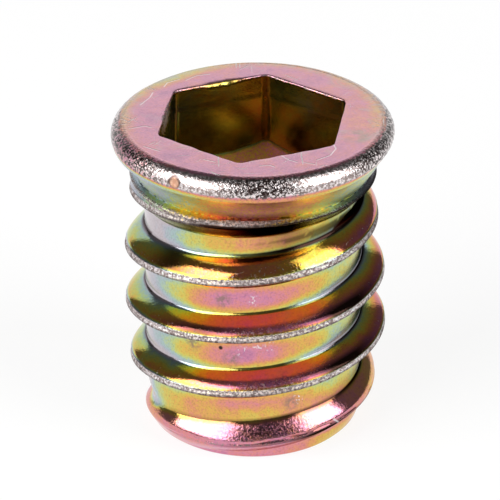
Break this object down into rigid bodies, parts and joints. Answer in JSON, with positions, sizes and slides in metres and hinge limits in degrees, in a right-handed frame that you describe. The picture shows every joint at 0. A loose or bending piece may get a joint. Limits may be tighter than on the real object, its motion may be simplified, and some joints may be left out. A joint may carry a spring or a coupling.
{
  "type": "threaded insert",
  "caption": "Flanged steel insert that screws into wood with a hex key and gives it a machine thread for a bolt.",
  "frame": {"origin": "centre of the foot ring that the insert stands on, at its lowest face", "axes": "+Z along the thread's axis, from the foot up to the flange; two corners of the hex socket lie on +X and -X"},
  "size_m": [0.013, 0.013, 0.015],
  "materials": {
    "passivated_zinc": "bright zinc plating with yellow passivation, in rainbow tints of pink, gold, green and blue"
  },
  "bodies": {
    "root": {"insert": "passivated_zinc"}
  },
  "joints": []
}
